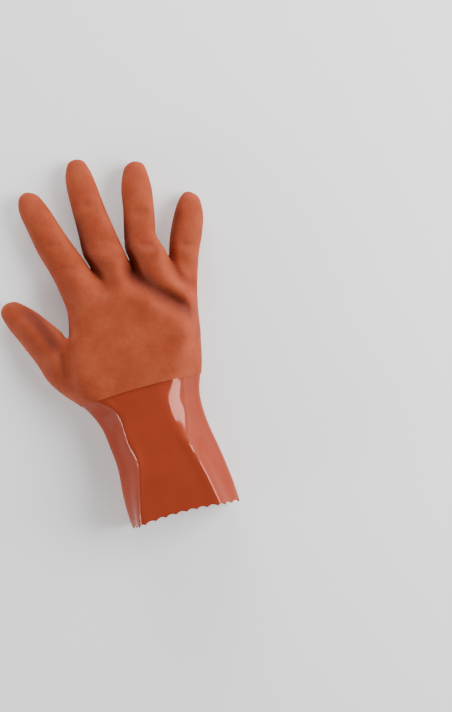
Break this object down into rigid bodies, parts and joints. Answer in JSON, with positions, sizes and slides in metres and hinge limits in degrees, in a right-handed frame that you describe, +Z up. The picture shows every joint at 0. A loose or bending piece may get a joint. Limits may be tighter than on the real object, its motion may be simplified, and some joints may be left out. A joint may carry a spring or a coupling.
{
  "type": "protective glove",
  "caption": "Right-hand gauntlet work glove, rough matt coating on the hand and a smooth shiny flared cuff with a pinked hem, lying palm down.",
  "frame": {"origin": "middle of the bounding box seen from above, at the level of the table the glove lies on", "axes": "+Y runs from the hem of the cuff to the middle fingertip, +Z is up out of the back of the hand, -X is the thumb side"},
  "size_m": [0.1776, 0.2984, 0.0503],
  "materials": {
    "hand": "matt, rough",
    "cuff": "smooth, glossy"
  },
  "bodies": {
    "root": {"hand": "hand", "cuff": "cuff"}
  },
  "joints": []
}
